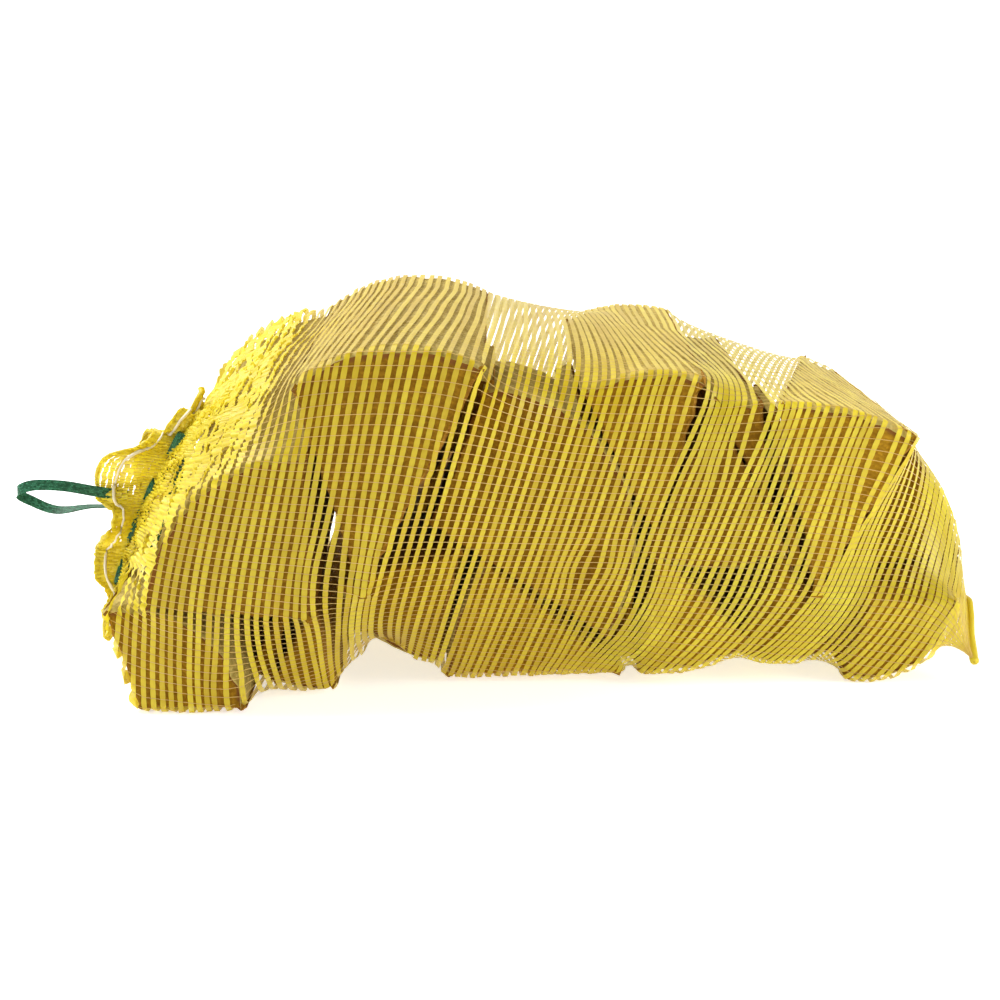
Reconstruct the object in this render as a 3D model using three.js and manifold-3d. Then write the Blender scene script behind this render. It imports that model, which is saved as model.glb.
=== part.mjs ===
// Net of firewood: split logs laid crosswise in a knitted net that a green tape draws shut, lying on its side.
// Millimetres. X runs along the net from its drawn mouth to its sewn bottom, Y along the logs, Z up.
import * as THREE from "three";
import { mergeVertices } from "three/addons/utils/BufferGeometryUtils.js";
import Module from "manifold-3d";

// Firewood.
const BARK_FACETS = 6;
// Each log is a wedge split from a round. x and z place its heart at the near end, rise is how much higher the
// far end lies, radius reaches the bark and is shorter by fall at the second split face, from and to are the
// split faces in degrees, front is the near end.
const LOGS = [
  { x: -84, z: 76, rise: 8, radius: 161, fall: 32, from: 62, to: 107, front: -150, length: 300 },
  { x: -114, z: 62, rise: 46, radius: 108, fall: 0, from: 90, to: 176, front: -152, length: 290 },
  { x: -224, z: 2, rise: 0, radius: 67, fall: 0, from: 0, to: 107, front: -140, length: 280 },
  { x: -120, z: 58, rise: 0, radius: 56, fall: 0, from: 243, to: 288, front: -104, length: 250 },
  { x: -24, z: 92, rise: 0, radius: 84, fall: 0, from: 196, to: 258, front: -90, length: 290 },
  { x: -46, z: 108, rise: 4, radius: 138, fall: 43, from: -33, to: 68, front: -90, length: 300 },
  { x: 80, z: 7, rise: 0, radius: 116, fall: 0, from: 140, to: 182, front: -78, length: 285 },
  { x: 99, z: 97, rise: 4, radius: 109, fall: 0, from: 74, to: 117, front: -88, length: 292 },
  { x: 137, z: 166, rise: 0, radius: 90, fall: 0, from: 245, to: 300, front: -84, length: 285 },
  { x: 100, z: 88, rise: 0, radius: 80, fall: 0, from: 262, to: 316, front: -84, length: 290 },
  { x: 202, z: 58, rise: 0, radius: 122, fall: 0, from: 60, to: 112, front: -86, length: 295 },
  { x: 182, z: 84, rise: 0, radius: 71, fall: 0, from: 243, to: 299, front: -80, length: 290 },
  { x: 238, z: 58, rise: 0, radius: 57, fall: 0, from: 256, to: 356, front: -80, length: 295 },
  { x: 226, z: 62, rise: 0, radius: 86, fall: 0, from: 6, to: 62, front: -34, length: 248 },
];

// Net cloth over the logs.
const NET_THICKNESS = 1.2;
const NET_STANDOFF = 4; // the stiff tapes bridge hollows and stand off sharp edges
// Share of the tension that runs round the net, the rest runs along it: most of it under the pile.
const AROUND_PULL = { over: 0.4, under: 0.9 };
const SETTLE_ROUNDS = 900;
const SOFTEN_ROUNDS = 2; // last rounds, in which the cloth rounds off the edges it is bent over
const SPINE_LEFT = new THREE.Vector3(-150, 0, 96);
const SPINE_RIGHT = new THREE.Vector3(222, 62, 66);
const SPINE_STEPS = 40;
const END_STEPS = 10;
const AROUND_STEPS = 76;

// Mouth, drawn to an oval that leans back over the left logs.
const MOUTH_CENTRE = new THREE.Vector3(-231, -10, 90);
const MOUTH_LEAN = 22; // degrees
const MOUTH_HALF_HEIGHT = 79;
const MOUTH_HALF_DEPTH = 30;
const MOUTH_FACETS = 16;
// How far the gathered edge stands out past the tape: most where it has been pulled out, above the middle.
const FRILL_REACH = { most: 46, least: 9 };
const FRILL_OUT = new THREE.Vector3(-1, 0, 0.1).normalize();
const FRILL_FLARE = 0.15;
const FRILL_FOLDS = 9;
const FRILL_FOLD_DEPTH = 0.16;
const FRILL_RINGS = 6;
const FRILL_STEPS = 54;

// Corners of the sewn bottom.
const EAR_LENGTH = 78;
const EAR_TIP_HALF = 25;
const EAR_ROOT_HALF = 34;
const EAR_THICKNESS = 9;
const EAR_SIDES = 10;
const EARS = [
  { tip: new THREE.Vector3(308, -74, 42), inward: new THREE.Vector3(-1, 0.75, 0.1) },
  { tip: new THREE.Vector3(308, 196, 42), inward: new THREE.Vector3(-1, -0.75, 0.1) },
];

// Green drawstring tape.
const TAPE_WIDTH = 7;
const TAPE_THICKNESS = 1;
const TAPE_GAP = 0.4;
const BAND_STANDOFF = 1;
const BAND_STEPS = 48;
const LOOP_STEPS = 40;
const LOOP_ROUTE = [
  [-244, -34, 114], [-262, -44, 119], [-285, -48, 124], [-305, -47, 124], [-315, -45, 119],
  [-308, -42, 113], [-291, -40, 106], [-268, -38, 108], [-246, -32, 106],
].map((place) => new THREE.Vector3(...place));
const LOOP_TURN = { start: 72, end: 20 }; // degrees that the tape's width stands up from level

const MATERIALS = {
  net: new THREE.MeshStandardMaterial({ color: "#d9bd3a", roughness: 0.55, metalness: 0 }),
  tape: new THREE.MeshStandardMaterial({ color: "#2f7d56", roughness: 0.45, metalness: 0 }),
};

const wasm = await Module();
wasm.setup();

const radians = THREE.MathUtils.degToRad;

// A corner of a log's bark at its near end, a share of the way from one split face to the other.
function barkPoint(log, share) {
  const angle = radians(THREE.MathUtils.lerp(log.from, log.to, share));
  const out = log.radius - log.fall * share ** 2;
  return new THREE.Vector3(log.x + Math.cos(angle) * out, log.front, log.z + Math.sin(angle) * out);
}

// Half-spaces of a wedge log: inside is normal . point <= reach.
function logPlanes(log) {
  const heart = new THREE.Vector3(log.x, log.front, log.z);
  const run = new THREE.Vector3(0, log.length, log.rise).normalize();
  const planes = [];
  const add = (normal, point) => planes.push({ normal, reach: normal.dot(point) });
  const corners = Array.from({ length: BARK_FACETS + 1 }, (_, k) => barkPoint(log, k / BARK_FACETS));
  const outline = [heart, ...corners, heart];
  for (let k = 0; k + 1 < outline.length; k++) {
    const edge = outline[k + 1].clone().sub(outline[k]);
    const normal = new THREE.Vector3(edge.z, 0, -edge.x);
    add(normal.addScaledVector(run, -normal.dot(run)).normalize(), outline[k]);
  }
  add(new THREE.Vector3(0, -1, 0), heart);
  add(new THREE.Vector3(0, 1, 0), new THREE.Vector3(0, log.front + log.length, 0));
  return planes;
}

// The mouth's own directions: out of the bag, up its oval, and along its depth.
const lean = radians(MOUTH_LEAN);
const MOUTH_OUT = new THREE.Vector3(-Math.cos(lean), 0, Math.sin(lean));
const MOUTH_UP = new THREE.Vector3(Math.sin(lean), 0, Math.cos(lean));
const MOUTH_DEPTH = new THREE.Vector3(0, 1, 0);

function mouthPoint(angle, grow, along) {
  return MOUTH_CENTRE.clone()
    .addScaledVector(MOUTH_UP, Math.cos(angle) * (MOUTH_HALF_HEIGHT + grow))
    .addScaledVector(MOUTH_DEPTH, Math.sin(angle) * (MOUTH_HALF_DEPTH + grow))
    .addScaledVector(MOUTH_OUT, along);
}

// The gathered mouth as half-spaces, so that the net is drawn to it as to another support.
function mouthPlanes() {
  const planes = [];
  for (let k = 0; k < MOUTH_FACETS; k++) {
    const angle = (k / MOUTH_FACETS) * 2 * Math.PI;
    const normal = new THREE.Vector3()
      .addScaledVector(MOUTH_UP, Math.cos(angle) * MOUTH_HALF_DEPTH)
      .addScaledVector(MOUTH_DEPTH, Math.sin(angle) * MOUTH_HALF_HEIGHT)
      .normalize();
    planes.push({ normal, reach: normal.dot(mouthPoint(angle, 0, 0)) });
  }
  planes.push({ normal: MOUTH_OUT, reach: MOUTH_OUT.dot(MOUTH_CENTRE) });
  const inward = MOUTH_OUT.clone().negate();
  planes.push({ normal: inward, reach: inward.dot(MOUTH_CENTRE) + NET_THICKNESS });
  return planes;
}

// How far a ray from inside can go before it last leaves one of the supports.
function supportReach(origin, direction, supports) {
  let reach = 0;
  for (const planes of supports) {
    let enter = 0;
    let leave = Infinity;
    for (const { normal, reach: limit } of planes) {
      const slope = normal.dot(direction);
      const room = limit - normal.dot(origin);
      if (Math.abs(slope) < 1e-9) {
        if (room < 0) leave = -1;
      } else if (slope > 0) leave = Math.min(leave, room / slope);
      else enter = Math.max(enter, room / slope);
    }
    if (leave > enter) reach = Math.max(reach, leave);
  }
  return reach;
}

// Rays of the net: square to the spine along it, then fanning round both of its ends.
function netRays() {
  const along = SPINE_RIGHT.clone().sub(SPINE_LEFT).normalize();
  const side = new THREE.Vector3(0, 1, 0);
  side.addScaledVector(along, -side.dot(along)).normalize();
  const up = new THREE.Vector3().crossVectors(along, side);
  const rows = [];
  const addRow = (origin, tilt) => {
    const row = [];
    for (let j = 0; j < AROUND_STEPS; j++) {
      const turn = (j / AROUND_STEPS) * 2 * Math.PI;
      const direction = new THREE.Vector3()
        .addScaledVector(side, Math.cos(turn) * Math.cos(tilt))
        .addScaledVector(up, Math.sin(turn) * Math.cos(tilt))
        .addScaledVector(along, Math.sin(tilt));
      const under = THREE.MathUtils.smoothstep(-direction.z, 0, 0.7);
      const aroundPull = THREE.MathUtils.lerp(AROUND_PULL.over, AROUND_PULL.under, under);
      row.push({ origin, direction, aroundPull, widen: Math.cos(tilt), reach: 0, support: 0 });
    }
    rows.push(row);
  };
  const quarter = Math.PI / 2;
  for (let i = 1; i < END_STEPS; i++) addRow(SPINE_LEFT, -quarter * (1 - i / END_STEPS));
  for (let i = 0; i <= SPINE_STEPS; i++) {
    addRow(SPINE_LEFT.clone().lerp(SPINE_RIGHT, i / SPINE_STEPS), 0);
  }
  for (let i = 1; i < END_STEPS; i++) addRow(SPINE_RIGHT, (quarter * i) / END_STEPS);
  return { rows, along };
}

// Where a ray meets the straight line between the ends of its two neighbours at equal angles.
function chord(one, other, step) {
  return (2 * Math.cos(step)) / (1 / one + 1 / other);
}

// Settles the net: each point is pulled straight between its neighbours and held out by what it lies on.
function settleNet(rows, along, supports) {
  const aroundStep = (2 * Math.PI) / AROUND_STEPS;
  const endStep = Math.PI / 2 / END_STEPS;
  const last = rows.length - 1;
  const poles = [
    { origin: SPINE_LEFT, direction: along.clone().negate(), reach: 0 },
    { origin: SPINE_RIGHT, direction: along, reach: 0 },
  ];
  for (const ray of [...rows.flat(), ...poles]) {
    ray.support = supportReach(ray.origin, ray.direction, supports) + NET_STANDOFF;
    ray.reach = ray.support;
  }
  for (let round = 0; round < SETTLE_ROUNDS; round++) {
    const softening = round >= SETTLE_ROUNDS - SOFTEN_ROUNDS;
    for (let i = 0; i <= last; i++) {
      const inEnd = i < END_STEPS - 1 || i > last - (END_STEPS - 1);
      for (let j = 0; j < AROUND_STEPS; j++) {
        const row = rows[i];
        const next = row[(j + 1) % AROUND_STEPS].reach;
        const previous = row[(j + AROUND_STEPS - 1) % AROUND_STEPS].reach;
        const left = i === 0 ? poles[0].reach : rows[i - 1][j].reach;
        const right = i === last ? poles[1].reach : rows[i + 1][j].reach;
        const lengthways = inEnd ? chord(left, right, endStep) : (left + right) / 2;
        const around = chord(previous, next, aroundStep * row[j].widen);
        const pulled = THREE.MathUtils.lerp(lengthways, around, row[j].aroundPull);
        row[j].reach = softening ? (row[j].reach + pulled) / 2 : Math.max(row[j].support, pulled);
      }
    }
    for (const [pole, row] of [[poles[0], rows[0]], [poles[1], rows[last]]]) {
      const mean = row.reduce((sum, ray) => sum + ray.reach, 0) / AROUND_STEPS;
      pole.reach = Math.max(pole.support, mean * Math.cos(endStep));
    }
  }
  return poles;
}

// A closed surface from rings of points and the two points that close its ends.
function skin(rings, first, last) {
  const count = rings[0].length;
  const points = [first, ...rings.flat(), last];
  const at = (i, j) => 1 + i * count + (j % count);
  const faces = [];
  for (let j = 0; j < count; j++) {
    faces.push(0, at(0, j), at(0, j + 1));
    for (let i = 0; i + 1 < rings.length; i++) {
      faces.push(at(i, j), at(i + 1, j), at(i, j + 1));
      faces.push(at(i, j + 1), at(i + 1, j), at(i + 1, j + 1));
    }
    faces.push(at(rings.length - 1, j), points.length - 1, at(rings.length - 1, j + 1));
  }
  const geometry = new THREE.BufferGeometry().setFromPoints(points);
  geometry.setIndex(faces);
  return geometry;
}

function toSolid(geometry) {
  const bare = new THREE.BufferGeometry().setAttribute("position", geometry.getAttribute("position"));
  bare.setIndex(geometry.index);
  const merged = mergeVertices(bare, 1e-4);
  const mesh = { numProp: 3, vertProperties: merged.attributes.position.array };
  let solid = new wasm.Manifold(new wasm.Mesh({ ...mesh, triVerts: new Uint32Array(merged.index.array) }));
  if (solid.volume() < 0) {
    const turned = new Uint32Array(merged.index.array).reverse();
    solid = new wasm.Manifold(new wasm.Mesh({ ...mesh, triVerts: turned }));
  }
  return solid;
}

function toGeometry(solid) {
  const mesh = solid.getMesh();
  const geometry = new THREE.BufferGeometry();
  geometry.setAttribute("position", new THREE.BufferAttribute(mesh.vertProperties, 3));
  geometry.setIndex(new THREE.BufferAttribute(mesh.triVerts, 1));
  geometry.computeVertexNormals();
  return geometry;
}

// The body of the filled net, flat where it lies on the floor.
function netBody() {
  const { rows, along } = netRays();
  const poles = settleNet(rows, along, [...LOGS.map(logPlanes), mouthPlanes()]);
  const place = ({ origin, direction, reach }) => {
    const point = origin.clone().addScaledVector(direction, reach);
    return point.setZ(Math.max(point.z, 0));
  };
  return skin(rows.map((row) => row.map(place)), place(poles[0]), place(poles[1]));
}

// The gathered edge past the tape: a short fluted collar that stands out of the mouth.
function frill() {
  const rings = [];
  const root = (angle, grow) => mouthPoint(angle, grow, -8);
  for (let i = 0; i <= FRILL_RINGS; i++) {
    const share = i / FRILL_RINGS;
    const ring = [];
    for (let j = 0; j < FRILL_STEPS; j++) {
      const angle = (-j / FRILL_STEPS) * 2 * Math.PI;
      const fold = Math.cos(FRILL_FOLDS * angle) + 0.5 * Math.cos((FRILL_FOLDS + 4) * angle + 1);
      const spread = share * (FRILL_FLARE + FRILL_FOLD_DEPTH * fold) - 0.1;
      const height = (1 + Math.cos(angle)) / 2;
      const pulled = THREE.MathUtils.smoothstep(height, 0, 0.75) - THREE.MathUtils.smoothstep(height, 0.8, 1);
      const reach = THREE.MathUtils.lerp(FRILL_REACH.least, FRILL_REACH.most, pulled);
      ring.push(root(angle, spread * MOUTH_HALF_DEPTH).addScaledVector(FRILL_OUT, share * (reach + 8)));
    }
    rings.push(ring);
  }
  const middle = MOUTH_CENTRE.clone().addScaledVector(FRILL_OUT, FRILL_REACH.least);
  return skin(rings, MOUTH_CENTRE.clone().addScaledVector(MOUTH_OUT, -8), middle);
}

// A corner of the sewn bottom: a flat pointed flap, rooted well inside the body.
function ear({ tip, inward }) {
  const axis = inward.clone().normalize();
  const across = new THREE.Vector3().crossVectors(axis, new THREE.Vector3(0, 0, 1)).normalize();
  const tall = new THREE.Vector3().crossVectors(across, axis);
  const rings = [0.02, 0.3, 0.65, 1].map((share) => {
    const ring = [];
    const middle = tip.clone().addScaledVector(axis, share * EAR_LENGTH);
    for (let j = 0; j < EAR_SIDES; j++) {
      const angle = (j / EAR_SIDES) * 2 * Math.PI;
      const height = THREE.MathUtils.lerp(EAR_TIP_HALF, EAR_ROOT_HALF, share);
      const thickness = EAR_THICKNESS * (0.3 + 0.7 * share);
      ring.push(middle.clone()
        .addScaledVector(tall, Math.cos(angle) * height)
        .addScaledVector(across, Math.sin(angle) * thickness));
    }
    return ring;
  });
  return skin(rings, tip, tip.clone().addScaledVector(axis, EAR_LENGTH));
}

// A flat tape along a run of places, each with the direction of the tape's width and of its face.
// The margin makes the slightly larger slot that the tape lies in.
function tape(places, closed, margin) {
  const halfWidth = TAPE_WIDTH / 2 + margin;
  const halfThickness = TAPE_THICKNESS / 2 + margin;
  const corners = [[-1, -1], [1, -1], [1, 1], [-1, 1]];
  const points = places.flatMap(({ point, wide, face }) => corners.map(([w, t]) => point.clone()
    .addScaledVector(wide, w * halfWidth)
    .addScaledVector(face, t * halfThickness)));
  const faces = [];
  for (let i = 0; i < places.length - (closed ? 0 : 1); i++) {
    for (let k = 0; k < 4; k++) {
      const [a, b] = [i * 4 + k, i * 4 + ((k + 1) % 4)];
      const [c, d] = [a, b].map((index) => (index + 4) % points.length);
      faces.push(a, c, b, b, c, d);
    }
  }
  if (!closed) {
    const end = points.length - 4;
    faces.push(0, 1, 2, 0, 2, 3, end, end + 2, end + 1, end, end + 3, end + 2);
  }
  const geometry = new THREE.BufferGeometry().setFromPoints(points);
  geometry.setIndex(faces);
  return toSolid(geometry);
}

// The tape round the gathered neck.
function bandPlaces() {
  return Array.from({ length: BAND_STEPS }, (_, j) => {
    const angle = (j / BAND_STEPS) * 2 * Math.PI;
    const face = new THREE.Vector3()
      .addScaledVector(MOUTH_UP, Math.cos(angle) * MOUTH_HALF_DEPTH)
      .addScaledVector(MOUTH_DEPTH, Math.sin(angle) * MOUTH_HALF_HEIGHT)
      .normalize();
    return { point: mouthPoint(angle, BAND_STANDOFF, 0), wide: MOUTH_OUT, face };
  });
}

// The loop of tape pulled out through the frill: its upper run stands on edge and its lower run lies flat.
function loopPlaces() {
  const curve = new THREE.CatmullRomCurve3(LOOP_ROUTE, false, "centripetal");
  return curve.getSpacedPoints(LOOP_STEPS).map((point, i) => {
    const share = i / LOOP_STEPS;
    const turn = radians(THREE.MathUtils.lerp(LOOP_TURN.start, LOOP_TURN.end, share));
    const tangent = curve.getTangentAt(share);
    const wide = new THREE.Vector3(0, Math.cos(turn), Math.sin(turn));
    wide.addScaledVector(tangent, -wide.dot(tangent)).normalize();
    return { point, wide, face: new THREE.Vector3().crossVectors(tangent, wide) };
  });
}

const band = bandPlaces();
const loop = loopPlaces();
const bulk = [frill(), ...EARS.map(ear)].reduce((whole, piece) => whole.add(toSolid(piece)), toSolid(netBody()));
const net = bulk.subtract(tape(band, true, TAPE_GAP)).subtract(tape(loop, false, TAPE_GAP));

// The frame's origin lies under the middle of the filled net, on the floor.
const bounds = new THREE.Box3().setFromBufferAttribute(toGeometry(net).getAttribute("position"));
const middle = bounds.getCenter(new THREE.Vector3());

function named(name, solid, material) {
  const mesh = new THREE.Mesh(toGeometry(solid).translate(-middle.x, -middle.y, -bounds.min.z), material);
  mesh.name = name;
  return mesh;
}

const part = new THREE.Group();
part.add(named("filled_net", net, MATERIALS.net));
part.add(named("drawstring_band", tape(band, true, 0), MATERIALS.tape));
part.add(named("drawstring_loop", tape(loop, false, 0), MATERIALS.tape));
export default part;
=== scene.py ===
# %% [markdown]
# # A net of firewood
#
# Split logs lie crosswise in a knitted net that rests on its side. The net's yellow tapes run round the
# bag and thin pale threads run along it. A green tape draws its mouth shut. The solid model has the outer
# form alone. This script replaces it with the logs, the net and the drawstring, all in the solid model's
# own frame.

import math

import bpy
import numpy as np
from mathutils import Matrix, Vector
from mathutils.bvhtree import BVHTree


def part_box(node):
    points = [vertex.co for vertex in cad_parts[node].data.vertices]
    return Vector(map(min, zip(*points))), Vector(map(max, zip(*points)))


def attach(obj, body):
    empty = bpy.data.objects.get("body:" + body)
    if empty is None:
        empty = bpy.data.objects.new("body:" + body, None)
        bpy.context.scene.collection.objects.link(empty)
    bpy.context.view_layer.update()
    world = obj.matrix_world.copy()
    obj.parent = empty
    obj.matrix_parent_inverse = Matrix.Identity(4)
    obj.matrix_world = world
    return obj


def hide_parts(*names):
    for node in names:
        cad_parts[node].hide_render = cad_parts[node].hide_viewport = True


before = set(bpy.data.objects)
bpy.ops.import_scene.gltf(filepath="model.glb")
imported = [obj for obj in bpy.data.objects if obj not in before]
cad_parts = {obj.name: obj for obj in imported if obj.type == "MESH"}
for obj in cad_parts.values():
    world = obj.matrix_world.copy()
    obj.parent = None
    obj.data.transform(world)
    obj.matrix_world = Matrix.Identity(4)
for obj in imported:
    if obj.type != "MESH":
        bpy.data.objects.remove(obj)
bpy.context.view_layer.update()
scene = bpy.context.scene

# %% [markdown]
# Sizes below are in millimetres, in the layout that the solid model is drawn in. The shared frame is in
# metres. The step between them could be copied from the source, but a change there would then be missed.
# The neck band's middle is known in both, so the step is measured on it. The drawn mouth is an oval that
# leans back over the left logs.

# %% Layout
MM = 1000  # millimetres in a metre
MOUTH_CENTRE = np.array([-231.0, -10.0, 90.0])
MOUTH_LEAN = math.radians(22)
MOUTH_HALF_HEIGHT = 79.0
MOUTH_HALF_DEPTH = 30.0
MOUTH_BOW = 9.0
MOUTH_OUT = np.array([-math.cos(MOUTH_LEAN), 0, math.sin(MOUTH_LEAN)])
MOUTH_UP = np.array([math.sin(MOUTH_LEAN), 0, math.cos(MOUTH_LEAN)])
MOUTH_DEPTH = np.array([0.0, 1.0, 0.0])
band_low, band_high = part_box("drawstring_band")
OFFSET = (np.array(band_low) + np.array(band_high)) / 2 * MM - MOUTH_CENTRE


def to_frame(points):
    """Layout places in millimetres as frame places in metres."""
    return (np.asarray(points, float) + OFFSET) / MM


print("step from the layout to the frame", OFFSET.round(2), "mm")

# %% [markdown]
# Three small helpers serve every piece: directions of length one, a soft step from 0 to 1, and smooth
# noise. Blender's own mathutils.noise could give such lumps one point at a time, but here whole arrays
# need them. So each whole-number corner gets a value by mixing its coordinates with a seed, and the same
# seed gives the same lumps in every run.

# %% Helpers
AXIS_PRIMES = (73856093, 19349663, 83492791)
SEED_PRIME = 40503
MIX_PRIME = 1274126177
POSITIVE = 0x7FFFFFFF
LEVELS = 65536


def unit(vectors):
    return vectors / np.maximum(np.linalg.norm(vectors, axis=-1, keepdims=True), 1e-9)


def smoothstep(low, high, value):
    share = np.clip((np.asarray(value, float) - low) / (high - low), 0, 1)
    return share * share * (3 - 2 * share)


def noise(seed, *axes):
    """Smooth random values from -1 to 1 over coordinates whose whole numbers are one lump apart."""
    axes = np.broadcast_arrays(*axes)
    base = [np.floor(axis).astype(np.int64) for axis in axes]
    part = [axis - low for axis, low in zip(axes, base)]
    part = [share * share * (3 - 2 * share) for share in part]
    total = np.zeros(axes[0].shape)
    for corner in range(2 ** len(axes)):
        mixed = np.full(axes[0].shape, SEED_PRIME * (seed + 1), np.int64)
        weight = np.ones(axes[0].shape)
        for k, prime in zip(range(len(axes)), AXIS_PRIMES):
            bit = corner >> k & 1
            mixed ^= (base[k] + bit) * prime
            weight = weight * (part[k] if bit else 1 - part[k])
        mixed = ((mixed ^ (mixed >> 13)) * MIX_PRIME) & POSITIVE
        total += weight * ((mixed ^ (mixed >> 15)) % LEVELS / ((LEVELS - 1) / 2) - 1)
    return total


sample = noise(0, np.linspace(0, 50, 500))
print("noise runs from", sample.min().round(2), "to", sample.max().round(2))

# %% [markdown]
# Meshes are built point by point with numpy, because the net has to follow the logs closely. A UV map named
# run says where on its piece a place is, with lengths in centimetres, so that grain and weave keep their
# real size. Each piece rides on the part's one body and stands for a node of the solid model.

# %% Meshes and pieces
def new_mesh(name, points, faces):
    mesh = bpy.data.meshes.new(name)
    mesh.from_pydata(to_frame(points).reshape(-1, 3).tolist(), [], faces)
    return mesh


def set_run(mesh, run):
    mesh.uv_layers.new(name="run").uv.foreach_set("vector", np.asarray(run, float).reshape(-1))


def set_values(mesh, label, values):
    """A number at each point of a mesh, for its material."""
    mesh.attributes.new(label, "FLOAT", "POINT").data.foreach_set("value", np.asarray(values, np.float32))


def place(name, mesh, nodes, slot):
    piece = bpy.data.objects.new(name, mesh)
    scene.collection.objects.link(piece)
    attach(piece, "root")
    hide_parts(nodes)
    return piece


print("nodes to replace", list(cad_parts))

# %% [markdown]
# The camera stands where the photograph's perspective puts it: about 1.3 m in front and 40 cm up, looking
# 13 degrees down. A lens of 69 mm takes in some 65 cm there. A nearer camera with a wider lens could
# frame the net as well, but the near log ends would then look too large.

# %% Camera
CAMERA_PLACE = (0, -1265, 400)
CAMERA_DOWN = 13.2  # degrees below level
camera_data = bpy.data.cameras.new("camera")
camera_data.sensor_width = 36
camera_data.lens = 69.0
camera = bpy.data.objects.new("camera", camera_data)
camera.location = to_frame(CAMERA_PLACE)
camera.rotation_euler = (math.radians(90 - CAMERA_DOWN), 0, 0)
scene.collection.objects.link(camera)
scene.camera = camera
print("camera at", [round(v, 3) for v in camera.location])

# %% [markdown]
# The drawstring is a flat woven tape, 7 mm wide. A loop of it is pulled out past the gathered edge. Its
# route is the solid loop's: a few listed points, joined by a smooth curve and divided into equal steps. A
# curve object with a bevel could sweep it too, but a mesh of its own keeps the twist of the tape in hand.

# %% Drawstring route
LOOP_ROUTE = [
    (-244, -34, 114), (-262, -44, 119), (-285, -48, 124), (-305, -47, 124), (-315, -45, 119),
    (-308, -42, 113), (-291, -40, 106), (-268, -38, 108), (-246, -32, 106),
]
LOOP_POINTS = 90


def resample(points, count):
    """Equal steps along a line of points."""
    points = np.array(points)
    steps = np.concatenate([[0], np.cumsum(np.linalg.norm(np.diff(points, axis=0), axis=1))])
    wanted = np.linspace(0, steps[-1], count)
    return np.stack([np.interp(wanted, steps, points[:, k]) for k in range(3)], 1)


def spline(points, steps=16):
    """A smooth curve through the points."""
    points = np.array(points, float)
    ends = np.vstack([2 * points[0] - points[1], points, 2 * points[-1] - points[-2]])
    share = np.linspace(0, 1, steps, endpoint=False)[:, None]
    runs = []
    for a, b, c, d in zip(ends, ends[1:], ends[2:], ends[3:]):
        bend = (2 * a - 5 * b + 4 * c - d) * share**2 + (3 * b - a - 3 * c + d) * share**3
        runs.append(b + ((c - a) * share + bend) / 2)
    return np.vstack(runs + [points[-1:]])


loop_line = resample(spline(LOOP_ROUTE), LOOP_POINTS)

# %% [markdown]
# A tape's cross-section has four corners, and sweeping them along the route gives the mesh. A ribbon of
# single faces would be simpler, but the edge of this tape shows. The loop's upper run stands on edge and its
# lower run lies flat.

# %% Drawstring loop
TAPE_HALF_WIDTH = 3.5
TAPE_HALF_THICKNESS = 0.4
TAPE_CORNERS = [(-1, -1), (1, -1), (1, 1), (-1, 1)]  # to one side and to one face
TAPE_ROUND = (0.0, 0.7, 0.75, 1.45, 1.5)  # centimetres round the cross-section, corner by corner
LOOP_SHARES = (0, 0.45, 0.6, 0.75, 0.85, 1)
LOOP_STAND = (80, 72, 52, 22, 4, -8)  # degrees that the loop's width stands up from level at those shares


def tape_mesh(name, line, wide, closed=False):
    """A flat tape along a line, with its width along the given directions."""
    count = len(line)
    ahead = np.gradient(line, axis=0)
    if closed:
        ahead = (np.roll(line, -1, 0) - np.roll(line, 1, 0)) / 2
    wide = unit(wide - unit(ahead) * (wide * unit(ahead)).sum(1, keepdims=True))
    face = unit(np.cross(ahead, wide))
    rings = [line + wide * TAPE_HALF_WIDTH * w + face * TAPE_HALF_THICKNESS * t for w, t in TAPE_CORNERS]
    gone = np.concatenate([[0], np.cumsum(np.linalg.norm(np.diff(line, axis=0), axis=1))]) / 10
    faces, run = [], []
    for i in range(count if closed else count - 1):
        n = (i + 1) % count
        end = gone[n] if n else gone[-1] + gone[1]
        for k in range(4):
            low, high = TAPE_ROUND[k], TAPE_ROUND[k + 1]
            faces.append((i * 4 + k, i * 4 + (k + 1) % 4, n * 4 + (k + 1) % 4, n * 4 + k))
            run += [(gone[i], low), (gone[i], high), (end, high), (end, low)]
    if not closed:
        faces += [(3, 2, 1, 0), tuple(4 * (count - 1) + k for k in range(4))]
        run += [(0, 0)] * 8
    mesh = new_mesh(name, np.stack(rings, 1), faces)
    set_run(mesh, run)
    return mesh


stand = np.radians(np.interp(np.linspace(0, 1, LOOP_POINTS), LOOP_SHARES, LOOP_STAND))
loop_wide = np.stack([np.zeros(LOOP_POINTS), np.cos(stand), np.sin(stand)], 1)
loop = place("loop", tape_mesh("loop", loop_line, loop_wide), "drawstring_loop", "drawstring")
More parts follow.
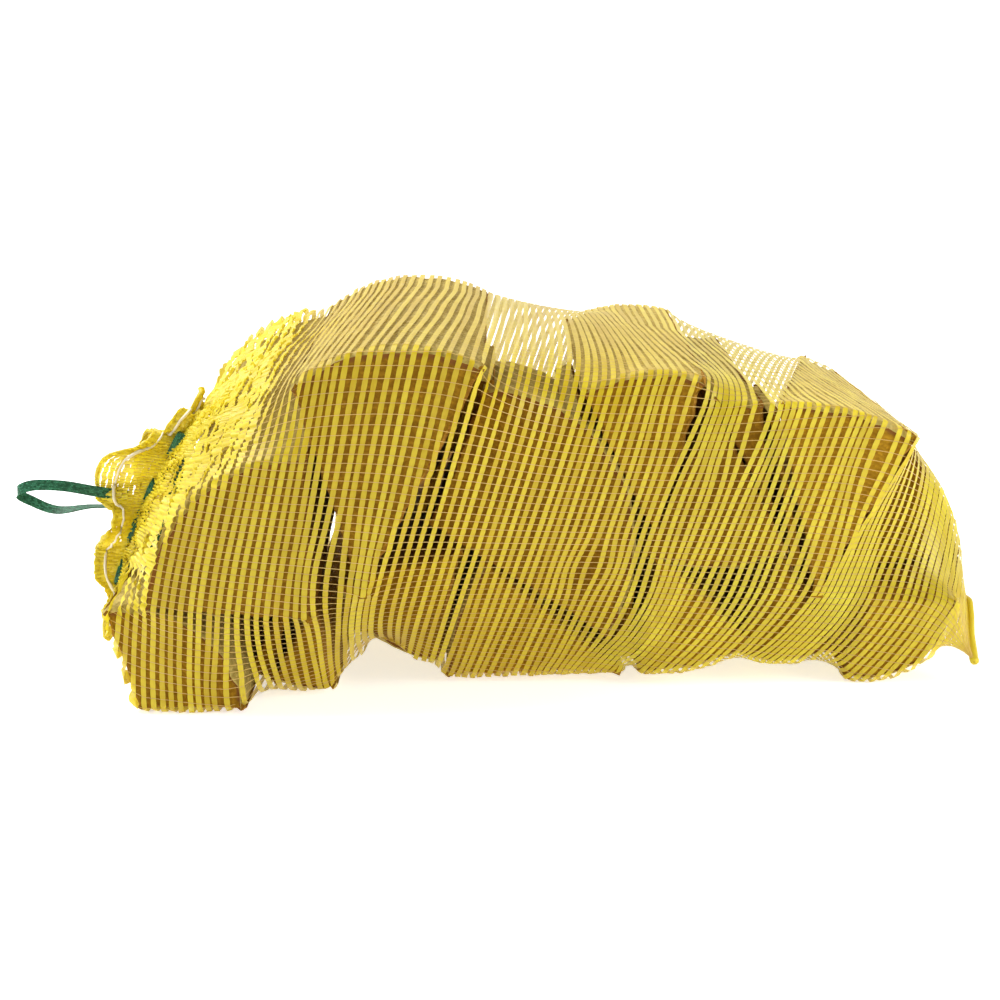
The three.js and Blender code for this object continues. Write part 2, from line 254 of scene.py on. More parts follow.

# %% [markdown]
# Logs are split from rounds, so each is a wedge: two split faces that meet at the heart, and bark between
# them. One row of sizes makes a log: they are set to the log ends that show through the net, and so a list
# serves better than a random pile. Thin sticks lie further back, where the photograph shows dark wood behind
# a gap.

# %% Log sizes
# Heart x and z, rise to the far end, radius, its fall to the second split face, both faces' degrees,
# near end, length.
LOGS = [
    (-84, 76, 8, 161, 23, 62, 107, -150, 300),
    (-114, 62, 46, 105, 0, 90, 176, -152, 290),
    (-224, 2, 0, 67, 0, 0, 107, -140, 280),
    (-120, 58, 0, 56, 0, 243, 288, -104, 250),
    (-24, 92, 0, 84, 8, 196, 258, -90, 290),
    (-46, 108, -30, 138, 43, -33, 68, -90, 300),
    (80, 7, 0, 116, 0, 140, 182, -78, 285),
    (99, 97, 4, 109, 0, 74, 117, -88, 292),
    (135, 183, 0, 107, 0, 245, 298, -84, 285),
    (100, 88, 0, 80, -8, 262, 316, -84, 290),
    (202, 58, -8, 122, -9, 60, 103, -86, 295),
    (182, 84, 0, 71, 0, 243, 299, -80, 290),
    (238, 58, 0, 57, 0, 256, 356, -80, 295),
    (226, 62, 0, 81, -14, 8, 62, -34, 248),
    (171, 116, 0, 71, -11, 95, 119, -84, 285),
    (236, 61, 0, 70, 0, -12, 9, -38, 200),
]
STICKS = [
    (209, 42, 0, 80, 0, 112, 120.5, -30, 200),
    (-98, 62, 20, 98, 0, 85, 97, -70, 200),
    (-132, 64, 0, 61, 0, 239, 258, -90, 200),
    (-86, 70, 0, 36, 0, 250, 290, -88, 180),
    (84, 60, 0, 48, 0, 254, 277, -72, 180),
    (-24, 90, 0, 83, 0, 257, 264, -50, 190),
    (-52, 108, -8, 98, 0, 60, 69, -50, 200),
    (92, 97, 0, 88, 0, 117, 126, -50, 200),
    (190, 80, 0, 102, 0, 98.5, 102.5, -84, 98),
]
LAST_LOG = LOGS[13]  # the one that the net's last tapes fan round
RUN_OFF = {10: -28}  # degrees by which a log's second split face runs off towards the far end
# Some logs are set paler or darker than most: partly their own colour, and partly painted light and shade
# for how brightly their ends are lit.
LOG_TONES_AND_LIGHT = {0: 0.35, 1: 0.15, 2: 0.6, 3: 0.9, 5: 0.35, 6: 1.1, 9: 0.9, 12: 0.9}  # paler or darker than most
print(len(LOGS), "logs and", len(STICKS), "sticks")

# %% [markdown]
# A log's end is an outline from the heart out along one split face, round the bark and back along the
# other. Fibres leave long ridges on the split faces, bark is rough in both directions, and the edges of
# the ends are a little worn. A bump map could draw this, but as real relief in the mesh it shows at the
# contour too.

# %% Log outlines and relief
END_GRAIN, SPLIT, BARK = 0, 1, 2
LOG_STEP = 4  # millimetres between points round a log
EDGE = 4  # how far from the ends the edges are worn
WEAR = 7  # more wears less
FIBRES = [(0, 7, 110, 1.1), (50, 3, 60, 0.6)]  # seed, a lump's size across and along, depth
ROUGH_BARK = [(99, 9, 16, 1.2), (150, 4, 6, 0.6)]


def bark_points(radius, fall, start, end, count):
    """Points of the bark round a log's end, from one split face to the other."""
    share = np.linspace(0, 1, count)[:, None]
    angle = np.radians(start + (end - start) * share)
    return (radius - fall * share**2) * np.hstack([np.cos(angle), np.sin(angle)])


def log_section(radius, fall, start, end, count):
    """A log's end, from heart round to heart: outline points, inward normals and kinds of face."""
    arc = bark_points(radius, fall, start, end, count)
    out = np.linspace(0, 1, max(6, round(radius / LOG_STEP)))
    first, last = np.outer(out, arc[0]), np.outer(out[::-1], arc[-1])
    start, end = math.radians(start), math.radians(end)
    inward = [
        np.tile((-math.sin(start), math.cos(start)), (len(first), 1)),
        -unit(arc),
        np.tile((math.sin(end), -math.cos(end)), (len(last), 1)),
    ]
    kinds = [SPLIT] * len(first) + [BARK] * len(arc) + [SPLIT] * len(last)
    return np.vstack([first, arc, last]), np.vstack(inward), np.array(kinds)


def relief(mean, layers, number, across, along):
    total = mean
    for seed, wide, long, depth in layers:
        total = total + depth * noise(number + seed, across / wide, along / long)
    return total


def carved(number, kinds, across, along, length):
    """How deep a log's surface lies under its plain wedge."""
    fibre = relief(1.0, FIBRES, number, across, along)
    rough = relief(1.2, ROUGH_BARK, number, across, along)
    worn = np.maximum(EDGE - np.minimum(along, length - along), 0) ** 2 / WEAR
    return np.maximum(np.where(kinds == BARK, rough, fibre), -0.2) + worn


print("a log of 100 mm has", len(log_section(100, 0, 0, 60, 26)[0]), "points round it")

# %% [markdown]
# A saw leaves a log's end flat but scored, with a dark line of bark round it. One flat face could close
# the end. Rings of points that shrink to its middle carry the saw's marks as well, and on the outermost
# ones a number, rim, tells the material where the bark is.

# %% Sawn ends
END_SHARES = np.array([1, 0.97, 0.93, 0.8, 0.65, 0.5, 0.35, 0.2, 0.002])  # of the way out from the middle
RIM_SHARES = (0.93, 0.97)
SAW_DEPTH = 0.5
SAW_SEED = 200


def ring_quads(rows, count):
    """Corner numbers of the faces between rows of points, each row closed on itself."""
    i, j = np.meshgrid(np.arange(rows - 1), np.arange(count), indexing="ij")
    n = (j + 1) % count
    corners = [i * count + j, i * count + n, (i + 1) * count + n, (i + 1) * count + j]
    return np.stack(corners, 2).reshape(-1, 4)


def sawn_end(number, log, outline, middle, far):
    """The rings of one end: their places in its plane, and in the layout."""
    x, z, rise, _, _, _, _, front, length = log
    flat = middle + (outline[None] - middle) * END_SHARES[:, None, None]
    scored = noise(number + SAW_SEED, flat[..., 0] / 5, flat[..., 1] / 12)
    scored = SAW_DEPTH * scored * (END_SHARES < 1)[:, None]
    depth = front + length - SAW_DEPTH - scored if far else front + SAW_DEPTH + scored
    depth[0] = front + length if far else front
    lift = rise if far else 0
    return flat, np.stack([x + flat[..., 0], depth, z + lift + flat[..., 1]], 2)


print("a sawn end has", len(END_SHARES), "rings")

# %% [markdown]
# The sides of a log are its outlines, one behind the other, and the two ends close it. Cutting a wedge
# from a cylinder with a boolean would give the form, but not its relief or a run for the grain. Which
# material a face has is known from its place on the outline. Split faces are sharp against the bark, so
# only gentle angles are shaded smooth.

# %% Logs
STATIONS = 40
SHARP = math.radians(50)


def log_sides(number, log):
    """A log's rings of points, their plain sections, lengths round and along it, and kinds of face."""
    _, _, _, radius, fall, start, end, _, length = log
    facets = max(8, round(radius * math.radians(end - start) / LOG_STEP))
    points, inward, kinds = log_section(radius, fall, start, end, facets)
    kept = 1 + RUN_OFF.get(number, 0) / (end - start)
    far = log_section(radius, fall * kept**2, start, start + (end - start) * kept, facets)[0]
    inner = np.linspace(EDGE, length - EDGE, STATIONS)
    stations = np.concatenate([[0, 1.5], inner, [length - 1.5, length]])
    girth = np.concatenate([[0], np.cumsum(np.linalg.norm(np.diff(points, axis=0), axis=1))])
    section = points + (far - points) * (stations / length)[:, None, None]
    across, along = np.meshgrid(girth, stations)
    rings = section + inward[None] * carved(number, kinds, across, along, length)[..., None]
    return rings, section, girth, stations, kinds


def log_mesh(number, log):
    x, z, rise, _, _, _, _, front, length = log
    rings, section, girth, stations, kinds = log_sides(number, log)
    rows, count = rings.shape[:2]
    along = np.broadcast_to(stations[:, None], (rows, count))
    sides = np.stack([x + rings[..., 0], front + along, z + rings[..., 1] + along / length * rise], 2)
    points, faces = [sides.reshape(-1, 3)], [ring_quads(rows, count)]
    kind, rims = [np.tile(kinds, rows - 1)], [np.zeros(rows * count)]
    i, j = np.meshgrid(np.arange(rows - 1), np.arange(count), indexing="ij")
    total = np.append(girth, girth[-1])
    corner = [np.stack([total[j + a], stations[i + b]], 2) for a, b in ((0, 0), (1, 0), (1, 1), (0, 1))]
    run = [np.stack(corner, 2).reshape(-1, 4, 2)]
    for far, facing in ((False, [0, 3, 2, 1]), (True, [1, 2, 3, 0])):
        station = -1 if far else 0
        flat, end = sawn_end(number, log, rings[station], section[station].mean(0), far)
        quads = ring_quads(len(END_SHARES), count)[:, facing]
        faces.append(sum(len(p) for p in points) + quads)
        points.append(end.reshape(-1, 3))
        rims.append((np.interp(END_SHARES, RIM_SHARES, (0, 1))[:, None] * (kinds == BARK)).reshape(-1))
        kind.append(np.full(len(quads), END_GRAIN))
        run.append(flat.reshape(-1, 2)[quads])
    mesh = new_mesh(f"log_{number}", np.vstack(points), np.vstack(faces).tolist())
    mesh.polygons.foreach_set("material_index", np.concatenate(kind).astype(np.int32))
    set_run(mesh, np.vstack(run) / 10)
    tone = LOG_TONES_AND_LIGHT.get(number, noise(number, np.array(0.5)) * 0.5 + 0.5)
    set_values(mesh, "tone", np.full(len(mesh.vertices), tone))
    set_values(mesh, "rim", np.concatenate(rims))
    mesh.set_sharp_from_angle(angle=SHARP)
    return mesh


logs = [place(f"log_{k}", log_mesh(k, log), "filled_net", "wood") for k, log in enumerate(LOGS + STICKS)]
print(len(logs), "pieces of wood,", sum(len(log.data.polygons) for log in logs), "faces")

# %% [markdown]
# The real net is a bag, drawn shut at the mouth and sewn flat across the bottom. It could be a tube that
# a shrinkwrap modifier pulls onto the pile, but that bunches up at the ends. Here it is a grid of rows
# round the bag and columns along it, from the mouth's oval to the seam. A spine inside the pile is what
# the columns are measured from.

# %% Mouth, seam and spine
AROUND = 216  # threads round the bag
ALONG = 112  # rows from the drawn mouth to the sewn bottom
SPINE_LEFT = np.array([-150.0, 0.0, 96.0])
SPINE_RIGHT = np.array([222.0, 62.0, 66.0])
SEAM_MIDDLE = (308.0, 61, 46)
SEAM_HALF = 135
SEAM_CORNER = (-2, 10, -30)  # how its corners hang: inward, out and down
spine = unit(SPINE_RIGHT - SPINE_LEFT)
side = unit(MOUTH_DEPTH - spine * (MOUTH_DEPTH @ spine))
up = np.cross(spine, side)
# A turn of 0 is the back, a quarter turn the top, a half turn the front.
TURNS = 2 * math.pi * np.arange(AROUND) / AROUND


def mouth_point(angle, grow=0.0):
    """A point of the drawn mouth's oval, whose near side bows out of the bag."""
    raised = np.multiply.outer(np.cos(angle) * (MOUTH_HALF_HEIGHT + grow), MOUTH_UP)
    across = np.multiply.outer(np.sin(angle) * (MOUTH_HALF_DEPTH + grow), MOUTH_DEPTH)
    bow = np.multiply.outer(MOUTH_BOW * np.clip(-np.sin(angle), 0, 1) ** 2, MOUTH_OUT)
    return MOUTH_CENTRE + raised + across + bow


def seam_point(across):
    """A point of the bottom's seam, from -1 at the near corner to 1 at the far one."""
    drop = smoothstep(0.8, 1.0, abs(across))
    x, y, z = SEAM_MIDDLE
    inward, out, down = SEAM_CORNER
    y = y + SEAM_HALF * across + out * drop * np.sign(across)
    return np.array([x + inward * drop, y, z + down * drop])


print("spine", np.linalg.norm(SPINE_RIGHT - SPINE_LEFT).round(0), "mm long")

# %% [markdown]
# Each column runs from the mouth over the pile to the seam. Lines could be drawn on the solid by hand,
# but so many need a rule: rays from the spine find points of the solid's surface, fanning out at both
# ends, and the line through them is cut into equal steps.

# %% Grid of the net on the solid
SPINE_STEPS = 40
END_STEPS = 10
MOUTH_TILT = 0.85  # share of the tilt to the mouth at which the first ray leaves
SEAM_TILT = 0.9
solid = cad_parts["filled_net"].data
corners = [tuple(face.vertices) for face in solid.polygons]
solid_tree = BVHTree.FromPolygons([v.co for v in solid.vertices], corners)


def surface_point(origin, turn, tilt):
    direction = (math.cos(turn) * side + math.sin(turn) * up) * math.cos(tilt) + spine * math.sin(tilt)
    found = solid_tree.ray_cast(Vector(to_frame(origin)), Vector(direction))[0]
    return np.array(found) * MM - OFFSET


def tilt_of(point, origin):
    reach = point - origin
    return math.asin(reach @ spine / np.linalg.norm(reach))


net = np.zeros((ALONG, AROUND, 3))
for j, turn in enumerate(TURNS):
    ring = mouth_point(math.pi / 2 - turn)
    sewn = seam_point(math.cos(turn))
    line = [ring]
    for tilt in np.linspace(MOUTH_TILT * tilt_of(ring, SPINE_LEFT), 0, END_STEPS, endpoint=False):
        line.append(surface_point(SPINE_LEFT, turn, tilt))
    for share in np.linspace(0, 1, SPINE_STEPS):
        line.append(surface_point(SPINE_LEFT + (SPINE_RIGHT - SPINE_LEFT) * share, turn, 0))
    for tilt in np.linspace(0, SEAM_TILT * tilt_of(sewn, SPINE_RIGHT), END_STEPS)[1:]:
        line.append(surface_point(SPINE_RIGHT, turn, tilt))
    net[:, j] = resample(line + [sewn], ALONG)
print("grid", net.shape, "from", net.min((0, 1)).round(0), "to", net.max((0, 1)).round(0))

# %% [markdown]
# The cloth has to stay out of the wood and above the floor. A log is the room behind a handful of planes,
# so a point inside it is pushed out along the cloth's own normal until it is past one of them. Blender's
# collision needs a cloth modifier and a baked run; planes are exact and quick. Between two logs the net
# is drawn up off the floor.

# %% Keeping the net out of the logs
BARK_FACETS = 10
STANDOFF = 0.6
GRAZING = 0.05  # least share of a push that has to point out of a plane
FURTHEST = 5  # most that one push moves a point
FLOOR_GAP = 0.9
ARCH_X = -78.0
ARCH_LEFT = 21.0
ARCH_RIGHT = 31.0
ARCH_RISE = 9  # at y 0, and more towards the front
ARCH_SLOPE = 0.27
ARCH_TOP = 40


def log_planes(number, log):
    x, z, rise, radius, fall, start, end, front, length = log
    outline = np.vstack([(0, 0), bark_points(radius, fall, start, end, BARK_FACETS + 1), (0, 0)])
    edges = np.diff(outline, axis=0)
    runs = np.tile(np.array([0, length, rise], float), (len(edges), 1))
    kept = 1 + RUN_OFF.get(number, 0) / (end - start)
    far = bark_points(radius, fall * kept**2, start, start + (end - start) * kept, 2)[-1] - outline[-2]
    runs[-1] += (far[0], 0, far[1])
    runs = unit(runs)
    normals = np.stack([edges[:, 1], np.zeros(len(edges)), -edges[:, 0]], 1)
    normals = unit(normals - runs * (normals * runs).sum(1, keepdims=True))
    touched = np.stack([x + outline[:-1, 0], np.full(len(edges), front), z + outline[:-1, 1]], 1)
    limits = (normals * touched).sum(1)
    return np.vstack([normals, [(0, -1, 0), (0, 1, 0)]]), np.append(limits, [-front, front + length])


PLANES = [log_planes(k, log) for k, log in enumerate(LOGS)]


def floor_under(points):
    """The lowest that the net lies: on the floor, but drawn up into an arch between two logs."""
    off = points[:, 0] - ARCH_X
    off = off / np.where(off < 0, ARCH_LEFT, ARCH_RIGHT)
    return FLOOR_GAP + np.clip(ARCH_RISE - ARCH_SLOPE * points[:, 1], 0, ARCH_TOP) * np.exp(-(off**2))


def push_out(points, outward, standoff=STANDOFF):
    for normals, limits in PLANES:
        depth = points @ normals.T - (limits + standoff)
        inside = np.flatnonzero(depth.max(1) < 0)
        rate = outward[inside] @ normals.T
        leave = np.where(rate > GRAZING, -depth[inside] / np.maximum(rate, GRAZING), FURTHEST).min(1)
        points[inside] += outward[inside] * leave[:, None]
    points[:, 2] = np.maximum(points[:, 2], floor_under(points))


print(len(PLANES), "logs,", sum(len(limits) for _, limits in PLANES), "planes")

# %% [markdown]
# Every crossing is pulled straight between its neighbours, again and again, and pushed back out of the
# logs, until the cloth is taut over the log ends and bridges the hollows between them. Friction on the
# wood lets it move in and out much more than along. A cloth simulation could do this too, but it is
# slower and harder to steer.

# %% Pulling the net taut
SETTLE_STEPS = 300
PULL = 0.9
SLIP = 0.12
NORMAL_STEPS = 5  # pulls between two looks at the cloth's normals
# Share of the pull that runs round the net, the rest runs along it: most of it under the pile.
AROUND_PULL = 0.4 + 0.5 * smoothstep(0, 0.7, -np.sin(TURNS) * up[2])[None, :, None]


def net_directions(grid):
    """Directions along the net, round it and out of it, at every crossing."""
    along = np.gradient(grid, axis=0)
    around = (np.roll(grid, -1, axis=1) - np.roll(grid, 1, axis=1)) / 2
    return unit(along), unit(around), unit(np.cross(around, along))


def smooth_normals(grid):
    normal = net_directions(grid)[2]
    for _ in range(3):
        normal[1:-1] += normal[:-2] + normal[2:]
        normal = unit(normal + np.roll(normal, 1, axis=1) + np.roll(normal, -1, axis=1))
    return normal[1:-1]


for step in range(SETTLE_STEPS):
    if step % NORMAL_STEPS == 0:
        normal = smooth_normals(net)
    lengthways = (net[:-2] + net[2:]) / 2
    around = (np.roll(net, 1, axis=1) + np.roll(net, -1, axis=1))[1:-1] / 2
    move = (1 - AROUND_PULL) * lengthways + AROUND_PULL * around - net[1:-1]
    outward = normal * (move * normal).sum(2, keepdims=True)
    net[1:-1] += PULL * (outward + SLIP * (move - outward))
    flat = net[1:-1].reshape(-1, 3)
    push_out(flat, normal.reshape(-1, 3))
    net[1:-1] = flat.reshape(ALONG - 2, AROUND, 3)
taut = net
print("taut net: rows", np.linalg.norm(np.diff(taut, axis=0), axis=2).mean().round(2), "mm apart, threads",
      np.linalg.norm(np.roll(taut, 1, axis=1) - taut, axis=2)[20:].mean().round(2), "mm")

# %% [markdown]
# A tight tape lies nearly in one plane round the bag. The tapes stand 5.65 mm apart along the front and
# lean with the pull of the net. Towards the sewn bottom they fan round the last log: their tops go down
# its bark while their feet go out to the seam. Even steps along each thread would be simpler, but the
# tapes would waver. So each tape is a plane with a lean, a curved foot and a slant towards the back.

# %% Paths of the tapes
PITCH = 5.65
END_TAPES = 25
FIRST_X = -240.0
LEVEL = 100  # height up the front at which a tape's x is given
FAN_RADIUS = 91
FAN_START = 75  # degrees up the last log's bark
FAN_TURN = 85
FOOT_START = 160
FOOT_RUN = 148
FOOT_CURVE = 0.0075
FOOT_HEIGHT = 70  # below which a foot curves
LEFT_FOOT_HEIGHT = 110
BACK_SLANT = 0.13
LEANS = [(-190, 0.28), (-110, 0.2), (-40, 0.28), (20, 0.33)]  # x along the front and the value there
FOOT_CURVES = [(-110, -0.0015), (-40, 0), (60, 0), (120, 0.005)]
SLANTS = [(-75, -0.07), (0, 0.02), (80, BACK_SLANT)]


def end_tape(share):
    """A tape of the fan, from its first to its last."""
    bend = math.radians(FAN_START - FAN_TURN * share)
    top_x = LAST_LOG[0] + FAN_RADIUS * math.cos(bend)
    top_z = LAST_LOG[1] + FAN_RADIUS * math.sin(bend)
    foot = FOOT_START + FOOT_RUN * share
    curve = FOOT_CURVE * (1 - share)
    lean = (top_x - foot - curve * FOOT_HEIGHT**2) / top_z
    x = foot + LEVEL * lean + curve * FOOT_HEIGHT**2
    return x, lean, curve, FOOT_HEIGHT, BACK_SLANT * (1 - share)


def along_front(x, table):
    return np.interp(x, *zip(*table))


paths = []
last_x, last_lean = end_tape(0)[:2]
for x in np.arange(FIRST_X, last_x - PITCH / 2, PITCH):
    lean = along_front(x, LEANS + [(last_x, last_lean)])
    curve = along_front(x, FOOT_CURVES + [(last_x, FOOT_CURVE)])
    paths.append((x, lean, curve, LEFT_FOOT_HEIGHT if curve < 0 else FOOT_HEIGHT, along_front(x, SLANTS)))
paths += [end_tape(share) for share in np.linspace(0, 1, END_TAPES)]
print(len(paths), "tapes,", END_TAPES, "of them in the fan")

# %% [markdown]
# A tape crosses each thread where the thread passes the tape's plane. Cutting the cloth with each plane
# would give the same lines, but no crossings to tie the threads to. A crossing is kept as the length gone
# along its thread from the mouth, so tapes can later be slid along the threads by plain sums. A few more
# tapes fill the room before the first plane and after the last.

# %% Where tapes cross threads
NECK_TAPES = 6
SEAM_TAPES = 3
SLANT_FROM = -90  # the slant starts at the front and ends over the top, so that the back's tapes stay apart
SLANT_TO = 90


def crossing_rows(x, lean, curve, foot_height, slant):
    """Rows of the taut grid, with their fractions, at which a tape crosses the threads."""
    z = taut[..., 2]
    bow = lean * (z - LEVEL) - curve * np.maximum(foot_height - z, 0) ** 2
    ahead = taut[..., 0] - x + slant * (np.minimum(taut[..., 1], SLANT_TO) - SLANT_FROM) - bow
    found = np.argmax(ahead >= 0, axis=0)
    before = np.maximum(found - 1, 0)
    j = np.arange(AROUND)
    low, high = ahead[before, j], ahead[found, j]
    rows = before + np.clip(low / np.minimum(low - high, -1e-6), 0, 1)
    rows[ahead[-1] < 0] = ALONG - 1
    return rows


def lay(lengths):
    """Tapes laid on the taut net, at lengths from the mouth along each thread."""
    lengths = np.maximum.accumulate(np.clip(lengths, 0, gone[-1]), axis=0)
    laid = np.empty(lengths.shape + (3,))
    for j in range(AROUND):
        for k in range(3):
            laid[:, j, k] = np.interp(lengths[:, j], gone[:, j], taut[:, j, k])
    return laid


gone = np.vstack([np.zeros((1, AROUND)), np.cumsum(np.linalg.norm(np.diff(taut, axis=0), axis=2), axis=0)])
stations = np.array([crossing_rows(*path) for path in paths])
lengths = np.array([[np.interp(stations[k, j], np.arange(ALONG), gone[:, j]) for j in range(AROUND)]
                for k in range(len(paths))])
to_first = np.linspace(0, 1, NECK_TAPES, endpoint=False)[:, None]
to_seam = np.linspace(0, 1, SEAM_TAPES + 1, endpoint=False)[1:, None]
after = lengths[-1:] + (gone[-1:] - lengths[-1:]) * to_seam
lengths = np.vstack([lengths[:1] * to_first, lengths, after, gone[-1:]])
net = lay(lengths)
print(len(lengths), "tapes from hem to seam; threads", gone[-1].mean().round(0), "mm long")

# %% [markdown]
# The net shifts on its load: tapes wander, open over some log corners and close up in the creases between
# logs. Noise alone could move them, but where they part or close up is seen in the photograph, so those
# places are listed. Near the mouth the tapes bunch up, and a last step eases apart those that crowd.

# %% Shifted tapes
CLOSEST = 4.3
NECK_PITCH = 2.9  # drawn together at the mouth, the tapes touch each other
NECK_RUN = 70
NECK_ROWS = 44
WANDER = 0.18  # in pitches, several tapes together
STRAY = 0.1  # in pitches, each tape for itself
CROWD_STEPS = 40
SHIFTS = [  # x, y, z of the place, pitches moved apart (or together), reach in tapes and in threads
    (123, -88, 199, 1.1, 4, 6),
    (158, -84, 181, 1.2, 4, 6),
    (238, -86, 154, 1.3, 2.5, 6),
    (263, -86, 163, -0.9, 3, 6),
    (137, -80, 186, -0.9, 6, 8),
    (173, -86, 184, -0.9, 6, 8),
    (223, -82, 71, -1.0, 6, 9),
    (95, -86, 51, -0.8, 6, 9),
    (-92, -128, 62, -0.9, 5, 9),
    (-107, -150, 87, 0.9, 3, 7),
    (-166, -140, 8, 1.0, 3, 6),
    (52, -90, 85, 0.8, 3, 4),
]
row = np.arange(len(lengths))[:, None]
column = np.arange(AROUND)[None, :]
ends = smoothstep(0, 8, row) * smoothstep(0, 8, len(lengths) - 1 - row)
drift = WANDER * noise(300, (row + 0.4 * column) / 9, (column - 0.5 * row) / 22)
drift = drift + STRAY * noise(301, row * 1.0, column / 26 + row * 0.37)
for x, y, z, apart, tapes_off, threads_off in SHIFTS:
    away = np.linalg.norm(net - (x, y, z), axis=2)
    i, j = np.unravel_index(away.argmin(), away.shape)
    threads_from = (column - j + AROUND // 2) % AROUND - AROUND // 2
    tapes_from = row - i - 0.5
    fading = np.exp(-((tapes_from / tapes_off) ** 2) - (threads_from / threads_off) ** 2)
    drift = drift + apart * np.tanh(tapes_from / 1.2) * fading
lengths = lengths + PITCH * ends * drift
for k in range(1, NECK_ROWS):
    lengths[k] = np.maximum(lengths[k], lengths[k - 1] + NECK_PITCH)
closest = np.interp(lengths[1:], (0, NECK_RUN), (NECK_PITCH, CLOSEST))
for _ in range(CROWD_STEPS):
    crowded = 0.25 * np.maximum(closest - np.diff(lengths, axis=0), 0)
    lengths[:-1] -= crowded
    lengths[1:] += crowded
net = lay(lengths)
print("mean pitch", np.linalg.norm(np.diff(net, axis=0), axis=2)[30:100].mean().round(2), "mm")

# %% [markdown]
# Past the drawstring the net stands out as a ruffled edge. Its rows start on the mouth's oval and spread
# outwards. Folds are waves round the mouth that deepen towards the edge, and the edge reaches furthest
# above the middle. A cloth simulation would fold it too, but waves can be set to folds like the
# photograph's.

# %% Frill
FRILL_ROWS = 10
FRILL_OUT = unit(np.array([-1, 0, -0.05]))
FRILL_LEAST = 7
FRILL_PULLED = 37  # more above the middle
FRILL_NEAR = 5  # less at the front
FRILL_DIP = 11  # less again between two folds
DIP_AT = -1.5  # radians round the mouth
DIP_WIDTH = 0.2
FRILL_UNEVEN = 3
ROOM = 4.5  # that tapes leave for the drawstring where it shows
ROOM_TAPES = 3.0
FLARE, FOLD, LOBE = 7, 7, 5  # how far the edge spreads, and its small and large waves
# Where round the mouth the drawstring shows, and how wide.
SHOWN = [(-0.68, 0.14), (-1.2, 0.09), (-1.58, 0.16), (-2.0, 0.15)]


def bare(angle):
    """1 where the drawstring lies outside the tapes, 0 where they hide it."""
    off = [((angle - at + math.pi) % (2 * math.pi) - math.pi) / width for at, width in SHOWN]
    return np.exp(-(np.array(off) ** 2)).max(0)


angles = math.pi / 2 - TURNS
height = (1 + np.cos(angles)) / 2
pulled = smoothstep(0, 0.75, height) - smoothstep(0.8, 1.0, height)
front_side = np.clip(-np.sin(angles), 0, 1) ** 2
turned = (angles + math.pi) % (2 * math.pi) - math.pi
dip = np.exp(-(((turned - DIP_AT) / DIP_WIDTH) ** 2))
frill_reach = FRILL_LEAST + FRILL_PULLED * pulled - FRILL_NEAR * front_side - FRILL_DIP * dip
frill_reach = frill_reach + FRILL_UNEVEN * noise(410, angles * 5)
frill_reach = frill_reach * (1 - 0.25 * np.clip(np.sin(angles), 0, 1))
loosely = 0.4 + 0.6 * height
fold = np.cos(13 * angles + 1.5 * np.sin(3 * angles)) + 0.5 * np.cos(21 * angles + 1)
lobe = np.cos(9 * angles + 0.6)
frill = []
for k in range(FRILL_ROWS, 0, -1):
    share = k / FRILL_ROWS
    spread = loosely * (FLARE * share + FOLD * share**0.7 * fold + LOBE * share**2 * lobe)
    out = frill_reach * (share - 0.22 * share**2 * np.clip(lobe, 0, 1))
    frill.append(mouth_point(angles, spread - 1) + np.outer(out, FRILL_OUT))
net = lay(lengths + ROOM * bare(angles) * np.exp(-row / ROOM_TAPES))
grid = np.concatenate([np.array(frill), net])
print("frill of", FRILL_ROWS, "tapes, up to", frill_reach.max().round(0), "mm long")

# %% [markdown]
# Threads that were 5 mm apart are drawn to under 2 mm at the mouth, so the cloth between them has to
# buckle. How much a crossing is gathered follows from how close its neighbours are, and on the shoulder
# from how slack the cloth hangs there. A cloth simulation could find the buckles. Lifting and shuffling
# the gathered crossings by noise and by a checkered pattern is quicker, and has the look of a knit.

# %% Gathers
NECK = FRILL_ROWS + 36  # rows that may be gathered
THREAD_PITCH = 4.9
FRILL_GATHER = 0.8
SLACK = 0.85
SHOULDER_TOP = 157  # height at which the shoulder's slack is given
SHOULDER_SLOPE = 0.26
SHOULDER_TAUT, SHOULDER_SLACK = -140, -158  # x there
LOWEST = 1.2  # a crossing's height above the floor
LOFT = 5  # how far slack cloth stands off the wood
CHECKER = 0.7
body = grid[NECK:-2].reshape(-1, 3)
push_out(body, net_directions(grid)[2][NECK:-2].reshape(-1, 3))
grid[NECK:-2] = body.reshape(-1, AROUND, 3)
grid[..., 2] = np.maximum(grid[..., 2], LOWEST)
rows = np.arange(len(grid))[:, None]
along_dir, around_dir, out_dir = net_directions(grid)
spacing = np.linalg.norm(np.roll(grid, -1, axis=1) - grid, axis=2)
tape_step = np.linalg.norm(np.gradient(grid, axis=0), axis=2)
fade = 1 - smoothstep(NECK - 20, NECK - 8, rows)
drawn = fade * (1 - smoothstep(0.45, 0.9, spacing / THREAD_PITCH))
bunched = fade * (1 - smoothstep(0.5, 0.9, tape_step / PITCH))
shoulder = grid[..., 0] - SHOULDER_SLOPE * (grid[..., 2] - SHOULDER_TOP)
turned_away = smoothstep(-0.9, -0.65, out_dir[..., 1])
slack = SLACK * turned_away * fade * smoothstep(SHOULDER_TAUT, SHOULDER_SLACK, shoulder)
gather = np.maximum(np.maximum(drawn, bunched), slack)
gather[:FRILL_ROWS] = np.maximum(gather[:FRILL_ROWS], FRILL_GATHER)
for _ in range(3):
    gather = (gather + np.roll(gather, 1, axis=1) + np.roll(gather, -1, axis=1)) / 3
crumple = 1.2 + 1.6 * noise(401, rows / 9, column / 7.0) + 1.0 * noise(403, rows / 1.3, column / 2.6)
crumple = crumple + CHECKER * np.cos(math.pi * (rows + column))
loft = LOFT * slack * smoothstep(FRILL_ROWS, FRILL_ROWS + 12, rows) * smoothstep(110, 160, grid[..., 2])
loft = loft * smoothstep(-105, 10, grid[..., 1])
